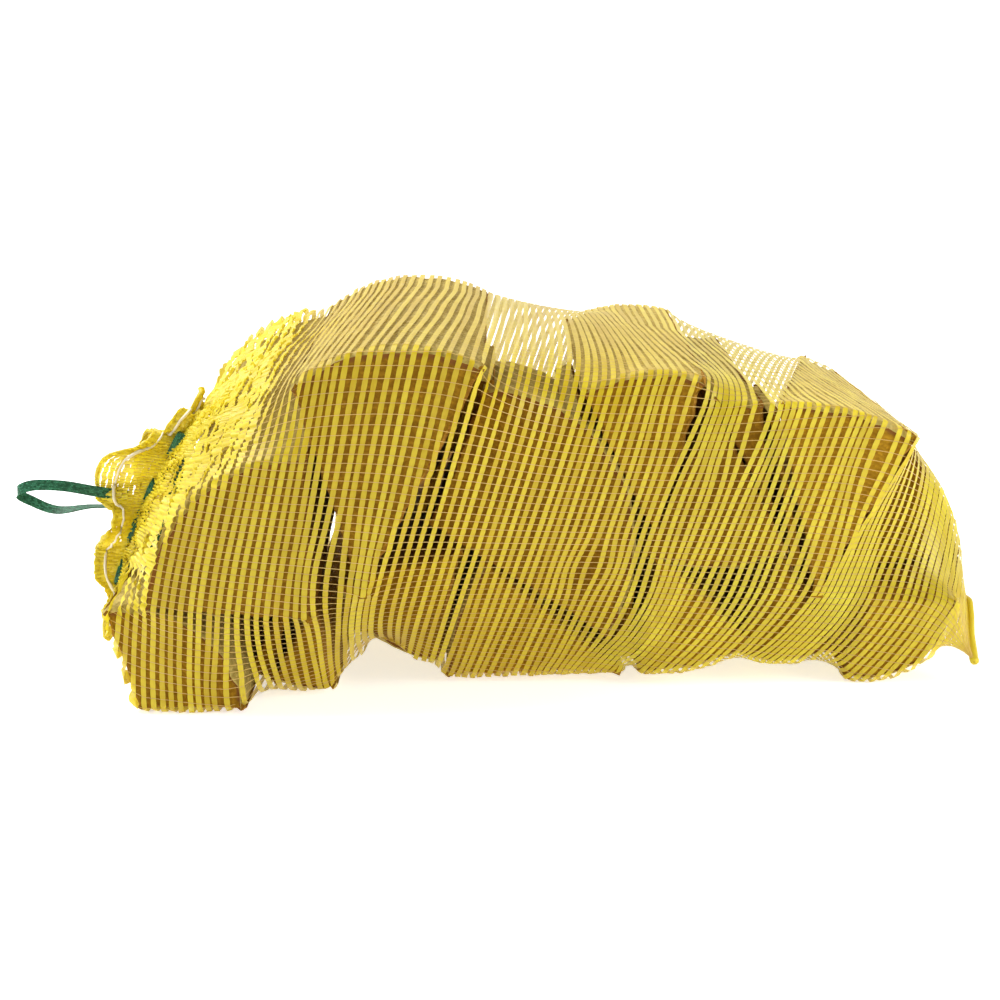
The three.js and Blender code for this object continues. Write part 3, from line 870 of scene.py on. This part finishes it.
pleat = gather * crumple * (1 - 0.8 * bare(angles) * (rows >= FRILL_ROWS))
grid = grid + out_dir * (np.maximum(pleat, -0.4) + loft)[..., None]
grid = grid + around_dir * (gather * 0.8 * noise(404, rows / 1.5, column / 2.0))[..., None]
print("gathered crossings", int((gather > 0.5).sum()), "of", gather.size)

# %% [markdown]
# Tapes and threads are flat ribbons, far thinner than they are wide, so each is a strip of single faces. A
# curve with a profile would do for one ribbon, but here hundreds go into one mesh. Two numbers ride along
# for the material: tone, how pale the film is, which on the tapes also holds painted light and painted
# highlights, and dense, how much the gathered cloth hides what is behind it.

# %% Ribbons
FLOOR_CLEARANCE = 0.3


def ribbons(name, centre, wide, closed, **fields):
    """A mesh of flat ribbons: centre and wide are (ribbon, point, xyz)."""
    count, points = centre.shape[:2]
    edge = np.stack([centre - wide, centre + wide], 2).reshape(-1, 3)
    edge[:, 2] = np.maximum(edge[:, 2], FLOOR_CLEARANCE)
    spans = points if closed else points - 1
    r, s = np.meshgrid(np.arange(count), np.arange(spans), indexing="ij")
    a = (r * points + s) * 2
    b = (r * points + (s + 1) % points) * 2
    quads = np.stack([a, b, b + 1, a + 1], 2).reshape(-1, 4)
    mesh = new_mesh(name, edge, quads.tolist())
    mesh.polygons.foreach_set("use_smooth", np.ones(len(quads), bool))
    length = np.linalg.norm(np.diff(centre, axis=1, append=centre[:, :1]), axis=2) / 10
    start = np.cumsum(length, 1) - length
    run = np.zeros((len(quads), 4, 2))
    run[:, (0, 3), 0] = start[:, :spans].reshape(-1, 1)
    run[:, (1, 2), 0] = (start + length)[:, :spans].reshape(-1, 1)
    run[:, 2:, 1] = 1
    set_run(mesh, run)
    for label, field in fields.items():
        set_values(mesh, label, np.repeat(field.reshape(-1), 2 * points * count // field.size))
    return mesh


TAPE_HALF = 1.72
half_widths = TAPE_HALF * (1 + 0.06 * noise(503, rows * 1.0, column / 9)) * (1 + 0.15 * gather)
# Rucked tapes stand up and close the gaps between them.
spread_out = gather * 0.48 * np.minimum(tape_step, 12)
# The cloth of the bottom lies double.
doubled = 0.45 * smoothstep(252, 284, grid[..., 0]) * np.minimum(tape_step, 8)
half_widths = np.maximum(half_widths, np.maximum(spread_out, doubled))
print("tapes", (2 * half_widths[NECK:].mean()).round(2), "mm wide")
print("gathered tapes", (2 * half_widths[:NECK].mean()).round(2), "mm wide")

# %% [markdown]
# Between two threads a slack tape puffs out, sways and twists, and a tight one hardly does. A displace
# modifier could lift the tapes, but here each amount is known at the crossings and carried to the pieces
# between them. The film's tone carries painted light: painted glints on the right, and the film painted
# paler towards the right and in the gathers, on top of its own uneven tone. The gathered rows are finer than
# the others, so they are a mesh of their own.

# %% Tapes
NECK_PARTS = 4  # straight pieces between two threads
TAPE_PARTS = 2
TAPE_STANDOFF = 0.5
puff = gather * (1.3 + 0.6 * noise(500, rows * 1.0, column * 1.0)) + 0.15
sway = gather * 0.7 * noise(501, rows * 1.0, column * 1.0)
twist = (0.12 + 0.45 * gather) * noise(502, rows * 1.0, column / 2.2 + rows * 0.3)
# Painted light on the film: painted glints on the right, and the film painted paler towards the right and in
# the gathers. The noise is the film's own uneven tone.
painted_glint = np.clip(noise(506, rows / 3, column / 2.5), 0, 1) ** 2 * smoothstep(-20, 130, grid[..., 0])
film_tone_and_light = 0.12 + 0.58 * smoothstep(50, 170, grid[..., 0]) + 0.5 * noise(504, rows * 1.0, column / 30)
film_tone_and_light = film_tone_and_light + 0.9 * painted_glint + 0.95 * gather


def between(field, share):
    """Values between each thread and the next one round the bag."""
    return field * (1 - share) + np.roll(field, -1, axis=1) * share


def tape_rows(name, some, parts):
    """The tapes of some rows, with that many straight pieces between two threads."""
    centres, wides, tones_and_highlights, gathers = [], [], [], []
    for k in range(parts):
        share = k / parts
        bulge = math.sin(math.pi * share)
        normal = unit(between(out_dir[some], share))
        along = unit(between(along_dir[some], share))
        angle = between(twist[some], share)[..., None]
        lift = (0.1 + puff[some] * bulge)[..., None]
        middle = between(grid[some], share) + normal * lift + along * (sway[some] * bulge)[..., None]
        if some.start:
            points = middle.reshape(-1, 3)
            push_out(points, normal.reshape(-1, 3), TAPE_STANDOFF)
            middle = points.reshape(middle.shape)
        centres.append(middle)
        wide = along * np.cos(angle) + normal * np.sin(angle)
        wides.append(wide * (between(half_widths[some], share) * (0.89 + 0.11 * bulge))[..., None])
        # The middle of each cell is painted paler, a painted highlight where the tape puffs out.
        tones_and_highlights.append(between(film_tone_and_light[some], share) + 0.25 * bulge - 0.12)
        gathers.append(between(gather[some], share))
    count = len(centres[0])
    centre, wide = (np.stack(fields, 2).reshape(count, -1, 3) for fields in (centres, wides))
    mesh = ribbons(name, centre, wide, True, tone=np.stack(tones_and_highlights, 2), dense=np.stack(gathers, 2))
    return place(name, mesh, "filled_net", "net")


neck_tapes = tape_rows("net_neck", slice(0, NECK), NECK_PARTS)
tapes = tape_rows("net_tapes", slice(NECK, None), TAPE_PARTS)
print("tapes", len(tapes.data.polygons), "faces, gathered ones", len(neck_tapes.data.polygons))

# %% [markdown]
# The thin pale threads are knitted over the tapes, so they lie on each tape and dip between two of them.
# Modelling each stitch would take far more faces than can be seen. A narrow ribbon that dips, and is kept
# out of the wood, looks the same from here.

# %% Threads
THREAD_HALF = 0.22
THREAD_OVER = 0.45  # above a tape's middle
THREAD_DIP = 0.15
THREAD_STANDOFF = 0.7
over = grid + out_dir * THREAD_OVER
halves = np.empty((2 * len(grid) - 1, AROUND, 3))
halves[::2] = over
halves[1::2] = (over[1:] + over[:-1]) / 2 - (out_dir[1:] + out_dir[:-1]) * THREAD_DIP
pressed = halves[1::2][NECK:-2].reshape(-1, 3)
push_out(pressed, out_dir[NECK : len(out_dir) - 3].reshape(-1, 3), THREAD_STANDOFF)
halves[1::2][NECK:-2] = pressed.reshape(-1, AROUND, 3)
thread_wide = np.swapaxes(np.repeat(around_dir, 2, axis=0)[:-1], 0, 1) * THREAD_HALF
thread_tone = 0.5 + 0.5 * noise(505, np.arange(AROUND) * 1.0)
thread_mesh = ribbons("net_threads", np.swapaxes(halves, 0, 1), thread_wide, False, tone=thread_tone)
threads = place("net_threads", thread_mesh, "filled_net", "net")
print(AROUND, "threads,", len(thread_mesh.polygons), "faces")

# %% [markdown]
# Rounded edges close the net: the turned hem of the mouth with its white sewing thread, and the rolled
# seam across the bottom. None of them is even, so their radius wavers. A curve with a round bevel could
# do it, but a mesh also carries the two numbers that the net's material reads.

# %% Hem and seam
SEAM_POINTS = 90


def rope(name, line, radius, sides, closed):
    """A round cord along a line, with a radius at each point."""
    count = len(line)
    ahead = unit(np.roll(line, -1, 0) - np.roll(line, 1, 0) if closed else np.gradient(line, axis=0))
    level = unit(np.cross(ahead, (0.3, 0.2, 1.0)))
    raised = np.cross(level, ahead)
    turn = 2 * math.pi * np.arange(sides) / sides
    ring = level[:, None] * np.cos(turn)[:, None] + raised[:, None] * np.sin(turn)[:, None]
    points = line[:, None] + ring * np.broadcast_to(radius, count)[:, None, None]
    points[..., 2] = np.maximum(points[..., 2], 0.4)
    i, j = np.meshgrid(np.arange(count if closed else count - 1), np.arange(sides), indexing="ij")
    n, m = (i + 1) % count, (j + 1) % sides
    quads = np.stack([i * sides + j, i * sides + m, n * sides + m, n * sides + j], 2).reshape(-1, 4).tolist()
    if not closed:
        quads += [list(range(sides))[::-1], list(range((count - 1) * sides, count * sides))]
    mesh = new_mesh(name, points, quads)
    mesh.polygons.foreach_set("use_smooth", np.ones(len(quads), bool))
    step = np.linalg.norm(np.diff(line, axis=0, append=line[:1]), axis=1) / 10
    along = np.cumsum(step) - step
    run = np.zeros((sum(len(q) for q in quads), 2))
    part = np.zeros((i.size, 4, 2))
    part[:, :, 0] = np.stack([along[i], along[i], along[i] + step[i], along[i] + step[i]], 2).reshape(-1, 4)
    part[:, :, 1] = np.stack([j, j + 1, j + 1, j], 2).reshape(-1, 4) / sides
    run[: i.size * 4] = part.reshape(-1, 2)
    set_run(mesh, run)
    for label, value in (("tone", 0.6), ("dense", 1.0)):
        set_values(mesh, label, np.full(len(mesh.vertices), value))
    return place(name, mesh, "filled_net", "net")


edge = grid[0]
edge = edge + FRILL_OUT * (0.5 + noise(604, column[0] / 2.5))[:, None]
hem = rope("hem", edge, 1.6 + 0.8 * noise(600, column[0] / 1.5), 6, True)
sewing = rope("hem_thread", grid[3] + out_dir[3] * 2.2, 0.9 + 0.4 * noise(603, column[0] / 3.0), 6, True)
across = np.linspace(-1, 1, SEAM_POINTS)
seam_line = np.array([seam_point(a) for a in across])
seam_line[:, 0] += 0.8 * noise(601, across * 14) + 1
rolled = 2.0 + 0.7 * noise(602, across * 20) + 1.3 * smoothstep(0.8, 1, abs(across))
seam = rope("seam", seam_line, rolled, 8, False)
print("faces of hem, sewing and seam", [len(piece.data.polygons) for piece in (hem, sewing, seam)])

# %% [markdown]

# %% [markdown]
# Inside the gathers the drawstring runs round the neck, threaded in and out of the net. It could be woven
# through the tapes one by one, but most of it is hidden. So the loop's tape is swept round the mouth's
# oval and lifted out of the cloth only where the photograph shows it.

# %% Drawstring band
BAND_POINTS = 160
BAND_INSIDE = -2.5
BAND_LIFT = 9.0
band_turns = np.linspace(0, 2 * math.pi, BAND_POINTS, endpoint=False)
band_line = mouth_point(band_turns, BAND_INSIDE + BAND_LIFT * bare(band_turns))
band_mesh = tape_mesh("band", band_line, np.tile(MOUTH_OUT, (BAND_POINTS, 1)), True)
band = place("band", band_mesh, "drawstring_band", "drawstring")
print("band", len(band.data.polygons), "faces")

# %% [markdown]
# The net's tapes and threads and the drawstring are made of drawn plastic film, which has fine streaks
# along it and drifts in shade over a few centimetres. An image of streaks would repeat and would have to
# be stored. Here a group of shader nodes makes both, from noise stretched along the run and from coarser
# noise. A group has named inputs and outputs, and each material places it with its own values. The
# helpers add a node and set or link its inputs, so that a graph reads like a sum.

# %% Film effect
def feed(tree, socket, value):
    """Links a socket to another, or sets it to a plain value."""
    if isinstance(value, bpy.types.NodeSocket):
        tree.links.new(value, socket)
    else:
        socket.default_value = value


def node(tree, kind, **inputs):
    """A new shader node. A keyword is an input's name, or its number after an underscore."""
    made = tree.nodes.new("ShaderNode" + kind)
    for name, value in inputs.items():
        socket = made.inputs[int(name[1:])] if name[0] == "_" else made.inputs[name.replace("_", " ")]
        feed(tree, socket, value)
    return made


def math_node(tree, operation, *values, clamp=False):
    made = node(tree, "Math", **{f"_{k}": value for k, value in enumerate(values)})
    made.operation = operation
    made.use_clamp = clamp
    return made.outputs[0]


def new_group(name, inputs, outputs):
    group = bpy.data.node_groups.new(name, "ShaderNodeTree")
    for label, kind in inputs:
        group.interface.new_socket(name=label, in_out="INPUT", socket_type="NodeSocket" + kind)
    for label, kind in outputs:
        group.interface.new_socket(name=label, in_out="OUTPUT", socket_type="NodeSocket" + kind)
    return group, group.nodes.new("NodeGroupInput").outputs, group.nodes.new("NodeGroupOutput").inputs


film, given, result = new_group(
    "film", [("Run", "Vector"), ("Tone", "Float")], [("Shade", "Float"), ("Ridges", "Float")]
)
stretched = node(film, "Mapping", Vector=given["Run"], Scale=(1.2, 6.0, 1.0))
streaks = node(film, "TexNoise", Vector=stretched.outputs[0], Scale=2.0, Detail=3.0)
clouds = node(film, "TexNoise", Vector=given["Run"], Scale=0.7, Detail=1.0)
blend = math_node(film, "MULTIPLY_ADD", streaks.outputs[0], 0.5, -0.25)
blend = math_node(film, "ADD", blend, math_node(film, "MULTIPLY_ADD", clouds.outputs[0], 0.6, -0.3))
# On the net's tapes the tone also holds painted light and painted glints.
tinted = math_node(film, "MULTIPLY_ADD", given["Tone"], 0.5, 0.25)
film.links.new(math_node(film, "ADD", blend, tinted, clamp=True), result["Shade"])
film.links.new(streaks.outputs[0], result["Ridges"])
print("film effect", len(film.nodes), "nodes")

# %% [markdown]
# Sawn ends, split faces and bark share an uneven grain, which each stretches in its own way: evenly on an
# end, far along the fibres on a split face. Three graphs could hold it three times. One group, given the
# stretch, puts out a shade and a height for the bump.

# %% Grain effect
grain, given, result = new_group(
    "grain",
    [("Run", "Vector"), ("Stretch", "Vector"), ("Tone", "Float")],
    [("Shade", "Float"), ("Height", "Float")],
)
stretched = node(grain, "Mapping", Vector=given["Run"])
grain.links.new(given["Stretch"], stretched.inputs["Scale"])
coarse = node(grain, "TexNoise", Vector=stretched.outputs[0], Scale=1.0, Detail=5.0, Roughness=0.62)
broad = node(grain, "TexNoise", Vector=given["Run"], Scale=0.35, Detail=2.0)
blend = math_node(grain, "MULTIPLY_ADD", coarse.outputs[0], 1.5, -0.55)
blend = math_node(grain, "ADD", blend, math_node(grain, "MULTIPLY_ADD", broad.outputs[0], 0.8, -0.4))
tinted = math_node(grain, "MULTIPLY_ADD", given["Tone"], 0.5, -0.2)
blend = math_node(grain, "ADD", blend, tinted, clamp=True)
grain.links.new(blend, result["Shade"])
grain.links.new(coarse.outputs[0], result["Height"])
print("grain effect", len(grain.nodes), "nodes")

# %% [markdown]
# A material takes the run of its piece from the UV map and the numbers that the mesh carries, and gives
# them to the effects. Wiring each material by hand in the editor would work as well. These helpers keep
# the materials alike, and let colours be written as they look on screen.

# %% Material helpers
def mix_colour(tree, share, first, second):
    made = tree.nodes.new("ShaderNodeMix")
    made.data_type = "RGBA"
    for k, value in ((0, share), (6, first), (7, second)):
        feed(tree, made.inputs[k], value)
    return made.outputs[2]


def attribute(tree, label):
    """The number that a mesh carries under this label."""
    made = tree.nodes.new("ShaderNodeAttribute")
    made.attribute_name = label
    return made.outputs["Fac"]


def bump(tree, shader, height, strength, distance):
    made = node(tree, "Bump", Height=height, Strength=strength, Distance=distance)
    tree.links.new(made.outputs[0], shader.inputs["Normal"])


def use_group(tree, group, **inputs):
    made = tree.nodes.new("ShaderNodeGroup")
    made.node_tree = group
    for name, value in inputs.items():
        feed(tree, made.inputs[name], value)
    return made.outputs


def new_material(name):
    material = bpy.data.materials.new(name)
    material.use_nodes = True
    tree = material.node_tree
    run = node(tree, "UVMap").outputs[0]
    return material, tree, tree.nodes["Principled BSDF"], run, attribute(tree, "tone")


def srgb(red, green, blue):
    """A colour given by its values on screen, 0 to 255."""
    parts = [v / 255 for v in (red, green, blue)]
    return (*[v / 12.92 if v < 0.04045 else ((v + 0.055) / 1.055) ** 2.4 for v in parts], 1)


print("light yellow film in linear light", [round(v, 2) for v in srgb(255, 238, 60)])

# %% [markdown]
# Thin yellow film lets some light through and a little of what is behind it. So its shader is mixed with
# a translucent one and is not quite opaque, except in the gathers, where the cloth lies many layers deep.
# Glass would be the wrong way: film doesn't bend light, and it would take far longer to render.

# %% Net materials
def film_material(name, dark, light, roughness, cover, through):
    material, tree, shader, run, tone = new_material(name)
    effect = use_group(tree, film, Run=run, Tone=tone)
    colour = mix_colour(tree, effect["Shade"], dark, light)
    tree.links.new(colour, shader.inputs["Base Color"])
    shader.inputs["Roughness"].default_value = roughness
    opaque = math_node(tree, "MULTIPLY_ADD", attribute(tree, "dense"), 1 - cover, cover)
    tree.links.new(opaque, shader.inputs["Alpha"])
    bump(tree, shader, effect["Ridges"], 0.3, 0.0003)
    if through:
        glow = node(tree, "BsdfTranslucent", Color=colour)
        mixed = node(tree, "MixShader", _0=through, _1=shader.outputs[0], _2=glow.outputs[0])
        tree.links.new(mixed.outputs[0], tree.nodes["Material Output"].inputs["Surface"])
    return material


yellow = film_material("net_tape", srgb(214, 183, 12), srgb(255, 238, 60), 0.32, 0.82, 0.28)
pale = film_material("net_thread", srgb(206, 168, 82), srgb(238, 204, 120), 0.4, 0.85, 0.2)
white = film_material("sewing_thread", srgb(236, 222, 186), srgb(252, 246, 228), 0.5, 1.0, 0.0)
for piece in (tapes, neck_tapes, hem, seam):
    piece.data.materials.append(yellow)
thread_mesh.materials.append(pale)
sewing.data.materials.append(white)
print("net materials", yellow.name, pale.name, white.name)

# %% [markdown]
# The drawstring is woven from narrow green strips. Strips of their own would be far too fine to be seen.
# So a brick texture draws those that lie on top, dark where they go under, and its joints are the hollows
# of the bump.

# %% Drawstring weave
material, tree, shader, run, _ = new_material("drawstring_weave")
effect = use_group(tree, film, Run=run, Tone=0.5)
weave = node(tree, "TexBrick", Vector=run, Scale=6.0, Mortar_Size=0.05, Brick_Width=0.9, Row_Height=0.6)
weave.inputs["Color1"].default_value = srgb(12, 74, 42)
weave.inputs["Color2"].default_value = srgb(84, 172, 128)
weave.inputs["Mortar"].default_value = srgb(8, 40, 24)
green = mix_colour(tree, effect["Shade"], srgb(10, 66, 38), weave.outputs["Color"])
tree.links.new(green, shader.inputs["Base Color"])
shader.inputs["Roughness"].default_value = 0.42
shader.inputs["Specular IOR Level"].default_value = 0.3
bump(tree, shader, math_node(tree, "SUBTRACT", 1.0, weave.outputs["Fac"]), 0.5, 0.0004)
for piece in (loop, band):
    piece.data.materials.append(material)
print("drawstring material", material.name)

# %% [markdown]
# Wood has three faces. A sawn end shows year rings round the heart and a dark rim of bark, a split face
# shows long fibres, and bark is pale and rough. Photographs of wood could be wrapped on, but they would
# repeat from log to log. Rings are waves of the distance from the heart, where an end's run starts, bent
# a little by the grain.

# %% Wood
RINGS = 22.0  # radians of ring wave to a centimetre
BARK_RIM = srgb(120, 76, 28)


def wood_material(name, stretch, dark, light, depth, rings=False):
    """Wood with its grain stretched along the run; a sawn end also has year rings and a rim of bark."""
    material, tree, shader, run, tone = new_material(name)
    effect = use_group(tree, grain, Run=run, Stretch=stretch, Tone=tone)
    colour = mix_colour(tree, effect["Shade"], dark, light)
    height = effect["Height"]
    if rings:
        distance = node(tree, "VectorMath", _0=run)
        distance.operation = "LENGTH"
        wobble = math_node(tree, "MULTIPLY_ADD", height, 0.5, distance.outputs["Value"])
        wave = math_node(tree, "SINE", math_node(tree, "MULTIPLY", wobble, RINGS))
        ring = math_node(tree, "MULTIPLY_ADD", wave, 0.22, 0.22)
        colour = mix_colour(tree, ring, colour, dark)
        colour = mix_colour(tree, attribute(tree, "rim"), colour, BARK_RIM)
    tree.links.new(colour, shader.inputs["Base Color"])
    shader.inputs["Roughness"].default_value = 0.8
    shader.inputs["Specular IOR Level"].default_value = 0.15
    bump(tree, shader, height, 0.6, depth)
    return material


# The sawn ends and split faces are darker than the wood's own colour, as painted shade from the net over
# them. The bark is paler and yellower than its own grey, as painted light on the pile's lit top under the
# yellow film.
wood = [
    wood_material("end_grain", (3.0, 3.0, 1.0), srgb(124, 86, 4), srgb(198, 150, 30), 0.001, True),
    wood_material("split_face", (6.0, 0.5, 1.0), srgb(126, 84, 16), srgb(202, 154, 50), 0.002),
    wood_material("bark", (3.0, 1.6, 1.0), srgb(150, 130, 60), srgb(228, 206, 124), 0.003),
]
for log in logs:
    for material in wood:
        log.data.materials.append(material)
print("materials", [m.name for m in bpy.data.materials if m.users])

# %% [markdown]
# The photograph has a plain white ground without an edge. A flat plane would end in a line behind the
# net, so the floor curves up into a back wall. It also glows a little, so that the underside of the net
# isn't dark.

# %% Floor
FLOOR_NEAR, FLOOR_FAR, FLOOR_HALF = -4, 2.2, 8  # metres
WALL_BEND = 1.5
WALL_TOP = 6
quarter = np.linspace(0, math.pi / 2, 13)
rounded = [(FLOOR_FAR + WALL_BEND * math.sin(a), WALL_BEND - WALL_BEND * math.cos(a)) for a in quarter]
profile = [(FLOOR_NEAR, 0)] + rounded + [(FLOOR_FAR + WALL_BEND, WALL_TOP)]
floor_mesh = bpy.data.meshes.new("floor")
floor_mesh.from_pydata(
    [(x, y, z) for y, z in profile for x in (-FLOOR_HALF, FLOOR_HALF)],
    [],
    [(2 * k, 2 * k + 1, 2 * k + 3, 2 * k + 2) for k in range(len(profile) - 1)],
)
floor_mesh.polygons.foreach_set("use_smooth", np.ones(len(floor_mesh.polygons), bool))
floor = bpy.data.objects.new("floor", floor_mesh)
scene.collection.objects.link(floor)
ground = bpy.data.materials.new("floor")
ground.use_nodes = True
tree = ground.node_tree
shader = tree.nodes["Principled BSDF"]
shader.inputs["Base Color"].default_value = (0.9, 0.9, 0.9, 1)
shader.inputs["Roughness"].default_value = 0.9
shader.inputs["Emission Color"].default_value = (1, 1, 1, 1)
ray = tree.nodes.new("ShaderNodeLightPath").outputs
# The floor's glow is painted light, a little stronger where the camera sees it straight or in a reflection,
# which paints a pale sheen on the tops of the tapes.
seen = math_node(tree, "MAXIMUM", ray["Is Camera Ray"], ray["Is Glossy Ray"])
tree.links.new(math_node(tree, "MULTIPLY_ADD", seen, 0.1, 0.5), shader.inputs["Emission Strength"])
floor_mesh.materials.append(ground)
print("floor of", len(floor_mesh.polygons), "faces")

# %% [markdown]
# White surroundings look white to the camera but light the net only softly, so that lamps can model it. A
# large lamp above and to the left is the main light. Alone it would leave the front and the right end in
# shade, so three weaker ones lift the neck, the right end and the front's foot.

# %% Light
SKY_LIGHT = 0.36
SKY_SEEN = 1.05
world = bpy.data.worlds.new("world")
world.use_nodes = True
tree = world.node_tree
sky_ray = tree.nodes.new("ShaderNodeLightPath")
strength = node(tree, "Mix", Factor=sky_ray.outputs["Is Camera Ray"])
strength.inputs[2].default_value = SKY_LIGHT
strength.inputs[3].default_value = SKY_SEEN
tree.nodes["Background"].inputs["Color"].default_value = (1, 1, 1, 1)
tree.links.new(strength.outputs[0], tree.nodes["Background"].inputs["Strength"])
scene.world = world
scene.view_settings.view_transform = "Standard"


def area_light(name, place, target, size, watts):
    data = bpy.data.lights.new(name, "AREA")
    data.size = size
    data.energy = watts
    light = bpy.data.objects.new(name, data)
    light.location = place
    light.rotation_euler = (Vector(target) - Vector(place)).to_track_quat("-Z", "Y").to_euler()
    scene.collection.objects.link(light)


area_light("key", (-0.8, 0.25, 1.55), (0, 0, 0.1), 1.4, 36)
area_light("left", (-1.7, 0.0, 0.8), (-0.1, 0, 0.1), 0.9, 5)
area_light("right", (1.7, -0.6, 0.7), (0.1, 0, 0.1), 0.9, 18)
area_light("low", (0.5, -1.7, 0.15), (0.05, 0, 0.05), 1.2, 6)
